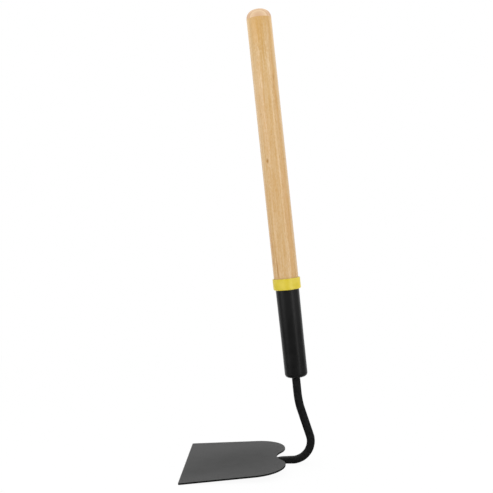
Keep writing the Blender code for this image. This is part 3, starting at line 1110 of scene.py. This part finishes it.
WOOD_FLECKS = (
    ((9.2, -10.9, 343), (0.9, 0.9, 5), 0.60),
    ((8.4, -11.5, 333), (0.8, 0.8, 4), 0.45),
    ((-8.6, -11.4, 303), (1.6, 1.6, 0.7), 0.45),
    ((0.5, -14.3, 279), (1.2, 1.2, 0.8), 0.40),
    ((12.2, -7.4, 250.5), (4.5, 4.5, 0.5), 0.45),
    ((-12.0, -7.8, 150), (0.9, 1.5, 12), 0.50),
    ((-12.3, -7.3, 134), (1.8, 2.4, 5), 0.45),
    ((-8.6, -11.4, 126), (1.3, 1.3, 14), 0.80),
    ((-7.0, -12.5, 113), (1.2, 1.2, 4), 0.60),
    ((-13.3, -5.3, 114), (1.0, 2.2, 4), 0.55),
)
print("the stick has", len(WOOD_TONES), "tones and", len(WOOD_FLECKS), "flecks besides its knot")

# %% Painting marks
TONE_FADE = (1.3, 0.2)
TONE_SHARE = 0.55
FLECK_FADE = (1.2, 0.3)


def paint_tones(tree, vector, body, tones, colours):
    """Lays soft spots over a colour: each has a place, a size, the name of its colour and a strength."""
    for centre, size, name, strength in tones:
        tone = blend(tree, TONE_SHARE, body, colours[name])
        body = blend(tree, soft_spot(tree, vector, centre, size, TONE_FADE, strength), body, tone)
    return body


def paint_flecks(tree, vector, body):
    for centre, size, strength in WOOD_FLECKS:
        spot = soft_spot(tree, vector, centre, size, FLECK_FADE, strength)
        body = blend(tree, spot, body, WOOD_COLOURS["fleck"])
    return body


print("a tone takes up", TONE_SHARE, "of its own colour")

# %% [markdown]
# The handle is varnished with its end left out. There the wood is bare, sanded, paler and pinker. The
# varnish is a thin clear coat over the wood, and it carries the two long narrow lights on the grip.

# %% Stick and end
# Painted shade: the stick darkens from the top down to the foot, as the light from above falls off.
FOOT_SHADE_HEIGHTS = (460.0, 60.0)
FOOT_SHADE_SHARE = 0.26


def stick_colour(tree, stick, layers):
    """The grain with its tones, darkened towards the foot by painted shade."""
    body = blend(tree, grain_value(tree, layers), WOOD_COLOURS["pale"], WOOD_COLOURS["deep"])
    body = paint_tones(tree, stick, body, WOOD_TONES, WOOD_COLOURS)
    height = parts_of(tree, stick)["Z"]
    return blend(tree, rescale(tree, height, *FOOT_SHADE_HEIGHTS, 0.0, FOOT_SHADE_SHARE), body, WOOD_COLOURS["foot"])


def end_colour(tree, stick, layers):
    """The bare end, where the rings show more plainly."""
    bare = blend(tree, layers["rings"], WOOD_COLOURS["end"], WOOD_COLOURS["end_late"])
    return paint_tones(tree, stick, bare, END_TONES, WOOD_COLOURS)


print("the wood darkens from", FOOT_SHADE_HEIGHTS[0], "mm down to", FOOT_SHADE_HEIGHTS[1], "mm up the axis")

# %% Wood finish
KNOT = (-7.3, -12.3, 249.6)
KNOT_SIZE = (1.5, 1.5, 2.9)
KNOT_FADE = (1.5, 0.1)
KNOT_REACH = (0.8, 3.5)
KNOT_BULGE = 1.6
PORE_LEVELS = (0.66, 0.76)
PORE_SHARE = 0.40
FIBRE_LEVELS = (0.3, 0.7)
FIBRE_RELIEF = 0.5
WOOD_RELIEF = 0.02
WOOD_ROUGHNESS = (0.50, 0.60)
BARE_ROUGHNESS = 0.15
BARE_END = 0.0109
VARNISH_EDGE = 0.25
VARNISH = 0.8
varnish_top = MILLIMETRES * (wood_top - BARE_END)


def hardwood():
    material, tree, shader = new_material("hardwood_varnished")
    stick = local_millimetres(tree, axis_place)
    knot_distance = distance_from(tree, stick, KNOT, KNOT_SIZE)
    layers = wood_layers(tree, stick, rescale(tree, knot_distance, *KNOT_REACH, KNOT_BULGE, 0.0))
    fibres = layers["fibres"]
    pores = rescale(tree, layers["pores"], *PORE_LEVELS)
    ragged = calculate(tree, "MULTIPLY", fibres, VARNISH_EDGE)
    end_line = calculate(tree, "ADD", parts_of(tree, stick)["Z"], ragged)
    is_end = rescale(tree, end_line, varnish_top, varnish_top + VARNISH_EDGE)

    body = blend(tree, is_end, stick_colour(tree, stick, layers), end_colour(tree, stick, layers))
    body = paint_flecks(tree, stick, body)
    body = blend(tree, calculate(tree, "MULTIPLY", pores, PORE_SHARE), body, WOOD_COLOURS["pore"])
    body = blend(tree, rescale(tree, knot_distance, *KNOT_FADE), body, WOOD_COLOURS["knot"])

    rough = rescale(tree, fibres, *FIBRE_LEVELS, *WOOD_ROUGHNESS)
    rough = calculate(tree, "ADD", rough, calculate(tree, "MULTIPLY", is_end, BARE_ROUGHNESS))
    surface = calculate(tree, "SUBTRACT", calculate(tree, "MULTIPLY", fibres, FIBRE_RELIEF), pores)
    look = {
        "Base Color": body,
        "Roughness": rough,
        "Coat Weight": rescale(tree, is_end, 0.0, 1.0, VARNISH, 0.0),
        "Normal": bump(tree, surface, WOOD_RELIEF),
        "Specular IOR Level": 0.2,
        "Coat Roughness": 0.14,
    }
    feed(tree, shader, look)
    return material


handle.data.materials.append(hardwood())
print("the varnish ends", round(varnish_top), "mm up the axis")

# %% [markdown]
# ## Yellow plastic
#
# The collar is moulded polyethylene, coloured right through. Such plastic has a soft sheen, a faint flow of
# tone from the mould, and small scuffs that turn pale. The flow is a slow noise between two close yellows.
# On the front a few upright bands of painted sheen and painted shade stand in for the lamps' highlights
# running down the collar, and they are painted as the tones of the wood are.

# %% Plastic finish
COLLAR_COLOURS = {
    "body": colour(207, 187, 54),
    "flow": colour(214, 194, 71),
    "worn": colour(234, 222, 136),
    # The deep, light and warm yellows colour the upright bands of painted shade and painted sheen.
    "deep": colour(205, 182, 20),
    "light": colour(236, 220, 110),
    "warm": colour(240, 212, 30),
}
# Painted sheen and shade: upright bands that stand in for the lamps' highlights running down the collar.
COLLAR_SHEEN_AND_SHADE_BANDS = (
    ((-9.5, -12.7, 107), (2.4, 3.5, 60), "deep", 0.35),
    ((0.0, -15.9, 107), (2.8, 4.0, 60), "deep", 0.60),
    ((4.8, -15.1, 107), (2.2, 3.0, 60), "light", 0.38),
    ((14.5, -6.5, 107), (3.0, 4.5, 60), "warm", 0.50),
)
PLASTIC_ROUGHNESS = (0.36, 0.44)
PLASTIC_RELIEF = 0.012
SCUFF_PALENESS = 0.5


def yellow_plastic():
    material, tree, shader = new_material("yellow_moulded_plastic")
    ring = local_millimetres(tree, axis_place)
    peel, patches, worn, marks = coat_masks(tree, ring, grain=0.35, patch=7.0, wear=0.35, scuffing=0.5)
    body = blend(tree, patches, COLLAR_COLOURS["body"], COLLAR_COLOURS["flow"])
    # Paints the bands of sheen and shade over the yellow.
    body = paint_tones(tree, ring, body, COLLAR_SHEEN_AND_SHADE_BANDS, COLLAR_COLOURS)
    pale = calculate(tree, "MAXIMUM", worn, calculate(tree, "MULTIPLY", marks, SCUFF_PALENESS))
    look = {
        "Base Color": blend(tree, pale, body, COLLAR_COLOURS["worn"]),
        "Roughness": rescale(tree, patches, 0.0, 1.0, *PLASTIC_ROUGHNESS),
        "Normal": bump(tree, peel, PLASTIC_RELIEF),
        "Specular IOR Level": 0.3,
    }
    feed(tree, shader, look)
    return material


collar.data.materials.append(yellow_plastic())
print("the collar has", len(COLLAR_SHEEN_AND_SHADE_BANDS), "upright bands")

# %% [markdown]
# ## Black and grey coats on steel
#
# The four steel finishes are one recipe with unlike numbers: a body colour that drifts between two levels,
# a thinner and lighter coat on the rims, scuffs, an orange peel and a roughness that follows the patches. A
# function with named values makes them all. It may be given a second function, which paints over the body
# colour: a painted sheen on the ferrule, and tones with painted shade on the blade.

# %% A recipe for coated steel
SPECK_LEVELS = (0.7, 1.0)
SPECK_SHARE = 0.25


def coated_steel(name, place, colours, grain, patch, peel_depth, rough, wear, scuffing, specular, over=None):
    """A painted steel finish from its dark, light and worn colours."""
    dark, light, worn_colour = colours
    material, tree, shader = new_material(name)
    vector = local_millimetres(tree, place)
    peel, patches, worn, marks = coat_masks(tree, vector, grain, patch, wear, scuffing)
    body = blend(tree, patches, dark, light)
    speck = calculate(tree, "MULTIPLY", rescale(tree, peel, *SPECK_LEVELS), SPECK_SHARE)
    body = blend(tree, speck, body, light)
    body = blend(tree, calculate(tree, "MAXIMUM", worn, marks), body, worn_colour)
    if over:
        body = over(tree, vector, body)
    look = {
        "Base Color": body,
        "Roughness": rescale(tree, patches, 0.0, 1.0, *rough),
        "Normal": bump(tree, peel, peel_depth),
        "Specular IOR Level": specular,
    }
    feed(tree, shader, look)
    return material


print("specks of the peel take up", SPECK_SHARE, "of the light colour")

# %% [markdown]
# The ferrule is the smoothest. Its black is lightened towards the mouth by a painted sheen, which stands in
# for the lamps' reflection spreading wider near the top. The bar is a matt black with a coarse forged skin.
# The weld beads are painted over too, but the paint on them is thin and uneven.

# %% Ferrule, bar and weld finishes
SHEEN_HEIGHTS = (45.0, 95.0)


# Painted sheen: the black is blended lighter towards the mouth, in place of the lamps' wider reflection
# there.
def painted_sheen_at_mouth(tree, vector, body):
    return blend(tree, rescale(tree, parts_of(tree, vector)["Z"], *SHEEN_HEIGHTS), body, grey(26))


ferrule_paint = coated_steel(
    "black_gloss_paint",
    axis_place,
    colours=(grey(16), grey(22), grey(60)),
    grain=0.9,
    patch=12.0,
    peel_depth=0.012,
    rough=(0.34, 0.40),
    wear=0.25,
    scuffing=0.12,
    specular=0.30,
    over=painted_sheen_at_mouth,
)
bar_paint = coated_steel(
    "matt_black_forged",
    stand_place,
    colours=(grey(12), grey(27), colour(50, 49, 48)),
    grain=0.8,
    patch=2.6,
    peel_depth=0.09,
    rough=(0.50, 0.66),
    wear=0.4,
    scuffing=0.2,
    specular=0.15,
)
weld_paint = coated_steel(
    "painted_weld_metal",
    plate_place,
    colours=(colour(40, 40, 41), colour(66, 66, 67), colour(104, 102, 100)),
    grain=0.5,
    patch=2.0,
    peel_depth=0.03,
    rough=(0.42, 0.6),
    wear=0.5,
    scuffing=0.1,
    specular=0.35,
)
ferrule.data.materials.append(ferrule_paint)
bar.data.materials.append(bar_paint)
for bead in welds:
    bead.data.materials.append(weld_paint)
print("steel finishes so far:", ferrule_paint.name, bar_paint.name, weld_paint.name)

# %% [markdown]
# The blade is a grey satin coat with tones of its own. Its cut sides are painted nearly black, while the
# faces
# are grey: partly the coat's own dark on the cut steel, partly painted shade, as the light comes from above
# and behind. Three soft spots near the middle of the face are painted darker, as painted shade where the
# handle and bar overhead keep light off the plate. Welding heats the plate, and the tongue below shows
# through as a faint dark line from the notch inwards. All lie in the plate's own plane, so they are drawn
# from distances there, in millimetres from the middle of the cutting edge.

# %% Tones and painted shade of the blade
# Painted shade: soft darker spots on the face, where the handle and bar overhead keep light off the plate.
PAINTED_SHADE_SPOTS = (
    ((56, -10, 0), (84, 66, 50), 0.68),
    ((84, 18, 0), (46, 44, 50), 0.36),
    ((12, -42, 0), (36, 30, 50), 0.44),
)
PAINTED_SHADE_FADE = (1.0, 0.1)
PRINT_LENGTH = 22.0
PRINT_FADE_SHARE = 0.4
PRINT_WIDTH = (1.6, 0.2)
PRINT_SHARE = 0.35
SHADED_CUT_SIDE = (0.02, 0.2)


def tongue_print(tree, x, y):
    """The faint line over the tongue: nothing at its inner end, and strongest near the notch."""
    notch = notch_distance * MILLIMETRES
    near = rescale(tree, x, notch - PRINT_LENGTH, notch - PRINT_FADE_SHARE * PRINT_LENGTH)
    line = calculate(tree, "MULTIPLY", rescale(tree, calculate(tree, "ABSOLUTE", y), *PRINT_WIDTH), near)
    return calculate(tree, "MULTIPLY", line, PRINT_SHARE)


# The cut sides get near black: partly a dark coat on the cut steel, partly painted shade, as the light comes
# from above and behind.
def shaded_cut_side(tree, z):
    """1 on the cut sides of the plate, which lie deeper than its faces, and 0 on the faces."""
    half_thickness = BLADE_THICKNESS * MILLIMETRES / 2
    from_middle = calculate(tree, "ABSOLUTE", calculate(tree, "SUBTRACT", z, half_thickness))
    return rescale(tree, calculate(tree, "SUBTRACT", half_thickness, from_middle), *SHADED_CUT_SIDE)


def blade_tones_and_shade(tree, vector, body):
    x, y, z = parts_of(tree, vector)
    # Painted shade in three soft spots near the middle.
    for centre, size, strength in PAINTED_SHADE_SPOTS:
        spot = soft_spot(tree, vector, centre, size, PAINTED_SHADE_FADE, strength)
        body = blend(tree, spot, body, grey(41))
    body = blend(tree, tongue_print(tree, x, y), body, grey(40))
    # Painted shade, with the coat's own dark, on the cut sides.
    return blend(tree, shaded_cut_side(tree, z), body, grey(14))


# These spots are painted shade.
print("the coat is thinner in", len(PAINTED_SHADE_SPOTS), "spots")

# %% Blade finish
blade_coat = coated_steel(
    "grey_satin_coat",
    plate_place,
    colours=(grey(61), grey(65), grey(84)),
    grain=0.6,
    patch=16.0,
    peel_depth=0.012,
    rough=(0.49, 0.52),
    wear=0.0,
    scuffing=0.10,
    specular=0.1,
    over=blade_tones_and_shade,
)
blade.data.materials.append(blade_coat)
print("finishes:", ", ".join(material.name for material in bpy.data.materials if material.users))

# %% [markdown]
# ## Floor, light and background
#
# The hoe stands on a plain pale floor in front of white. The floor and the world are white to the camera
# and to reflections, and the world is a little dimmer as a light. The floor's white is mixed with a plain
# surface, which keeps a soft shadow.
#
# Round glossy things show the room that they stand in. A white studio is dim on the side where the camera
# stands, so varnish, plastic and paint look plain in front, show the lamps as bands and turn pale at their
# sides. So reflections, and only they, see that side of the room dim.

# %% The white room
DIM_SIDE = (math.cos(math.radians(150)), math.cos(math.radians(95)))
DIM_LEVEL = 0.1


def seen_directly(tree):
    """1 for camera, glossy and transmission rays, 0 for the rays that carry plain light."""
    path = add(tree, "ShaderNodeLightPath", {}).outputs
    shiny = calculate(tree, "MAXIMUM", path["Is Glossy Ray"], path["Is Transmission Ray"])
    return calculate(tree, "MAXIMUM", path["Is Camera Ray"], shiny)


def room_white(tree, outward):
    """1, but for reflections it falls to the dim level on the side where the camera stands."""
    flat = calculate_vector(tree, "NORMALIZE", stretch(tree, outward, (1, 1, 0)))
    ahead = add(tree, "ShaderNodeVectorMath", {0: flat, 1: (0, -1, 0)}, operation="DOT_PRODUCT")
    dim = rescale(tree, ahead.outputs["Value"], *DIM_SIDE, 0.0, 1 - DIM_LEVEL)
    reflected = add(tree, "ShaderNodeLightPath", {}).outputs["Is Glossy Ray"]
    return calculate(tree, "SUBTRACT", 1.0, calculate(tree, "MULTIPLY", dim, reflected))


print("reflections see the near side of the room at", DIM_LEVEL)

# %% Floor
FLOOR_SIZE = 6.0
FLOOR_LEVEL = 0.9
FLOOR_WHITE_SHARE = 0.94
FLOOR_FADE = (0.35, 0.9)


def make_floor():
    bm = bmesh.new()
    bmesh.ops.create_grid(bm, x_segments=1, y_segments=1, size=FLOOR_SIZE / 2)
    mesh = bpy.data.meshes.new("floor")
    bm.to_mesh(mesh)
    bm.free()
    floor = new_object("floor", mesh)
    material, tree, shader = new_material("floor_white")
    look = {"Base Color": [FLOOR_LEVEL] * 3 + [1.0], "Roughness": 0.9, "Specular IOR Level": 0.0}
    feed(tree, shader, look)
    place = add(tree, "ShaderNodeTexCoord", {}).outputs["Object"]
    white = add(tree, "ShaderNodeEmission", {"Strength": room_white(tree, place)}).outputs[0]
    white_share = rescale(tree, length_of(tree, place), *FLOOR_FADE, FLOOR_WHITE_SHARE, 1.0)
    share = calculate(tree, "MULTIPLY", seen_directly(tree), white_share)
    mixed = add(tree, "ShaderNodeMixShader", {0: share, 1: shader.outputs[0], 2: white}).outputs[0]
    feed(tree, tree.nodes["Material Output"], {"Surface": mixed})
    mesh.materials.append(material)
    floor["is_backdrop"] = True


make_floor()
print("the floor is", FLOOR_SIZE, "m wide")

# %% World
WORLD_LIGHT = 0.85


def make_world():
    world = bpy.data.worlds.new("studio")
    bpy.context.scene.world = world
    world.use_nodes = True
    tree = world.node_tree
    outward = add(tree, "ShaderNodeTexCoord", {}).outputs["Generated"]
    strength = rescale(tree, seen_directly(tree), 0.0, 1.0, WORLD_LIGHT, 1.0)
    strength = calculate(tree, "MULTIPLY", strength, room_white(tree, outward))
    feed(tree, tree.nodes["Background"], {"Color": (1, 1, 1, 1), "Strength": strength})


make_world()
print("the world lights the hoe at", WORLD_LIGHT)

# %% [markdown]
# ## Lamps
#
# Two narrow strip lamps stand left and right of the camera, and two wider, softer ones stand further round
# on either side. They lie in planes through the handle's axis, so their reflections run down the varnish as
# straight lines beside each other. A wide lamp above and behind lights the blade and the tops of things.

# %% Lamps
LAMP_DISTANCE = 0.75
ABOVE_AIM = Vector((0.02, 0.0, 0.30))


def beside_handle(azimuth, height):
    """A place that faces the handle's axis squarely. Azimuth 0 is the camera's side and 90 is the right."""
    around = Matrix.Rotation(math.radians(azimuth), 4, "Z")
    out = Matrix.Translation((0, -LAMP_DISTANCE, height))
    return axis_place @ around @ out @ Matrix.Rotation(math.pi / 2, 4, "X")


def above_and_behind(elevation, distance):
    """A place behind the hoe that looks down at it."""
    up = math.radians(elevation)
    away = Vector((0, math.cos(up), math.sin(up)))
    turn = (-away).to_track_quat("-Z", "Y").to_matrix().to_4x4()
    return Matrix.Translation(ABOVE_AIM + away * distance) @ turn


def soft_lamp(name, place, width, height, watts):
    data = bpy.data.lights.new(name, "AREA")
    data.shape = "RECTANGLE"
    data.size = width
    data.size_y = height
    data.energy = watts
    new_object(name, data).matrix_world = place


soft_lamp("strip_right", beside_handle(44, 0.22), width=0.24, height=0.68, watts=1.08)
soft_lamp("strip_left", beside_handle(-38, 0.43), width=0.13, height=0.26, watts=0.36)
soft_lamp("side_left", beside_handle(-62, 0.25), width=0.34, height=0.75, watts=1.0)
soft_lamp("side_right", beside_handle(80, 0.25), width=0.34, height=0.75, watts=0.28)
soft_lamp("lamp_above", above_and_behind(66, 1.6), width=1.6, height=1.6, watts=9)
print("lamps:", len(bpy.data.lights))

# %% [markdown]
# ## Camera
#
# The camera stands about a metre in front of the hoe's side and a little over half its height. It was found
# from the blade: a flat plate of known outline, seen at a slant, fixes where the eye must be. It looks a
# few degrees left and down, and it is rolled by less than a degree.

# %% Camera
CAMERA_PLACE = (0.03514, -0.97322, 0.28965)
CAMERA_YAW = math.radians(2.1475)
CAMERA_PITCH = math.radians(-2.1964)
CAMERA_ROLL = math.radians(-0.6889)
SENSOR_WIDTH = 36.0
LENS = 61.83

camera_data = bpy.data.cameras.new("camera")
camera_data.sensor_width = SENSOR_WIDTH
camera_data.lens = LENS
camera = new_object("camera", camera_data)
yaw = Matrix.Rotation(CAMERA_YAW, 4, "Z")
pitch = Matrix.Rotation(math.pi / 2 + CAMERA_PITCH, 4, "X")
roll = Matrix.Rotation(CAMERA_ROLL, 4, "Z")
camera.matrix_world = Matrix.Translation(CAMERA_PLACE) @ yaw @ pitch @ roll
bpy.context.scene.camera = camera
bpy.context.scene.view_settings.view_transform = "Standard"
print("camera at", CAMERA_PLACE)

# %% [markdown]
# ## The size
#
# The dressed hoe must be as large as its solids. Both boxes are printed: the solids' box near the top, and
# the dressed box here.

# %% Print the dressed box
dressed_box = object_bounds()
print("dressed box, in mm:", in_millimetres(high - low for low, high in zip(*dressed_box)))
